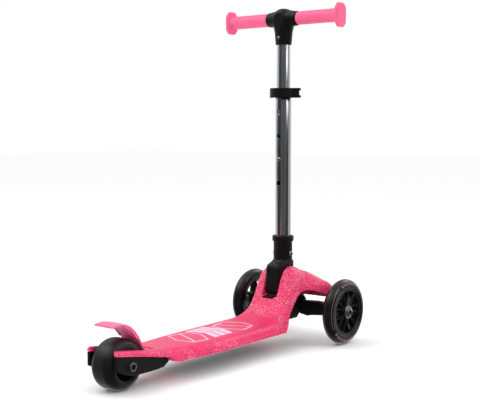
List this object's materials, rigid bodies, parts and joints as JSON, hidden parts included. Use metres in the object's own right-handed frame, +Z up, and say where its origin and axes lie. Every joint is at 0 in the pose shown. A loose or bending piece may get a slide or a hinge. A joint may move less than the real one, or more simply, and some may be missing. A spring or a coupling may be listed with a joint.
{
  "type": "kick scooter",
  "caption": "Child's kick scooter with two wheels in front and one behind, a moulded deck, a folding stem with a telescopic tube, a T handlebar and a step-on rear brake.",
  "frame": {"origin": "on the floor, under the middle of the bounding box", "axes": "+Y is the direction of travel, +X the rider's right, +Z up"},
  "size_m": [0.252, 0.577, 0.6167],
  "materials": {
    "pink_plastic": "satin moulded",
    "light_pink_plastic": "satin moulded",
    "black_plastic": "matt moulded",
    "black_rubber": "matt",
    "black_polyurethane": "glossy",
    "chromed_steel": "polished",
    "zinc_steel": "zinc plated"
  },
  "bodies": {
    "deck": {"deck_body": "pink_plastic", "underside_cover": "black_plastic", "cover_screw_1": "zinc_steel", "cover_screw_2": "zinc_steel", "cover_screw_3": "zinc_steel", "cover_screw_4": "zinc_steel", "steering_housing": "black_plastic", "kingpin_bolt": "zinc_steel", "kingpin_nut": "zinc_steel", "steering_bush_lower": "black_rubber", "steering_bush_upper": "black_rubber", "fold_pin": "zinc_steel", "release_spring": "zinc_steel", "rear_bracket": "black_plastic", "rear_axle_bolt": "zinc_steel", "rear_axle_nut": "zinc_steel", "rear_washer_left": "zinc_steel", "rear_washer_right": "zinc_steel", "brake_pin": "zinc_steel"},
    "truck": {"axle_beam": "black_plastic", "front_axle_bolt_left": "zinc_steel", "front_axle_bolt_right": "zinc_steel"},
    "front_left_wheel": {"front_left_tyre": "black_polyurethane", "front_left_hub": "black_plastic", "front_left_bearing_inner": "zinc_steel", "front_left_bearing_outer": "zinc_steel", "front_left_bearing_spacer": "zinc_steel"},
    "front_right_wheel": {"front_right_tyre": "black_polyurethane", "front_right_hub": "black_plastic", "front_right_bearing_inner": "zinc_steel", "front_right_bearing_outer": "zinc_steel", "front_right_bearing_spacer": "zinc_steel"},
    "rear_wheel": {"rear_tyre": "black_polyurethane", "rear_hub": "black_plastic", "rear_bearing_inner": "zinc_steel", "rear_bearing_outer": "zinc_steel", "rear_bearing_spacer": "zinc_steel"},
    "brake": {"brake_fender": "light_pink_plastic"},
    "fold_latch": {"fold_release": "black_plastic"},
    "stem": {"fold_knuckle": "black_plastic", "cross_bolt": "zinc_steel", "cross_nut": "zinc_steel", "lower_tube": "chromed_steel", "clamp_collar": "black_plastic", "clamp_bolt": "zinc_steel", "clamp_nut": "zinc_steel", "clamp_lever_pin": "zinc_steel", "snap_spring": "zinc_steel"},
    "lever": {"clamp_lever": "black_plastic"},
    "height_button": {"snap_button": "zinc_steel"},
    "handlebar": {"upper_tube": "chromed_steel", "t_bar": "black_plastic", "t_bar_screw": "zinc_steel", "handlebar_tube": "zinc_steel", "grip_left": "light_pink_plastic", "grip_right": "light_pink_plastic"}
  },
  "joints": [
    {"name": "steering_tilt", "type": "hinge", "parent": "deck", "child": "truck", "pos_m": [0, 0.2285, 0.06], "axis": [0, 0.7071, 0.7071], "range_deg": [-10, 10], "stiffness_Nm_per_rad": 6},
    {"name": "front_left_spin", "type": "hinge", "parent": "truck", "child": "front_left_wheel", "pos_m": [-0.104, 0.2285, 0.06], "axis": [1, 0, 0], "continuous": true},
    {"name": "front_right_spin", "type": "hinge", "parent": "truck", "child": "front_right_wheel", "pos_m": [0.104, 0.2285, 0.06], "axis": [1, 0, 0], "continuous": true},
    {"name": "rear_spin", "type": "hinge", "parent": "deck", "child": "rear_wheel", "pos_m": [0, -0.2485, 0.04], "axis": [1, 0, 0], "continuous": true},
    {"name": "brake_press", "type": "hinge", "parent": "deck", "child": "brake", "pos_m": [0, -0.1955, 0.0505], "axis": [1, 0, 0], "range_deg": [0, 3], "stiffness_Nm_per_rad": 1.5, "springref_deg": -8.59},
    {"name": "latch_slide", "type": "slide", "parent": "deck", "child": "fold_latch", "axis": [0, 1, 0], "range_m": [0, 0.0025], "stiffness_N_per_m": 800, "springref_m": -0.002, "deforming": ["release_spring"]},
    {"name": "stem_fold", "type": "hinge", "parent": "deck", "child": "stem", "pos_m": [0, 0.158, 0.1], "axis": [1, 0, 0], "range_deg": [0, 86]},
    {"name": "lever_swing", "type": "hinge", "parent": "stem", "child": "lever", "pos_m": [0.02775, 0.18465, 0.4612], "axis": [0, 0, -1], "range_deg": [-120, 0]},
    {"name": "button_press", "type": "slide", "parent": "stem", "child": "height_button", "axis": [0, 1, 0], "range_m": [0, 0.0035], "stiffness_N_per_m": 800, "springref_m": -0.002, "deforming": ["snap_spring"]},
    {"name": "height_slide", "type": "slide", "parent": "stem", "child": "handlebar", "axis": [0, 0, 1], "range_m": [-0.0435, 0.087]}
  ]
}
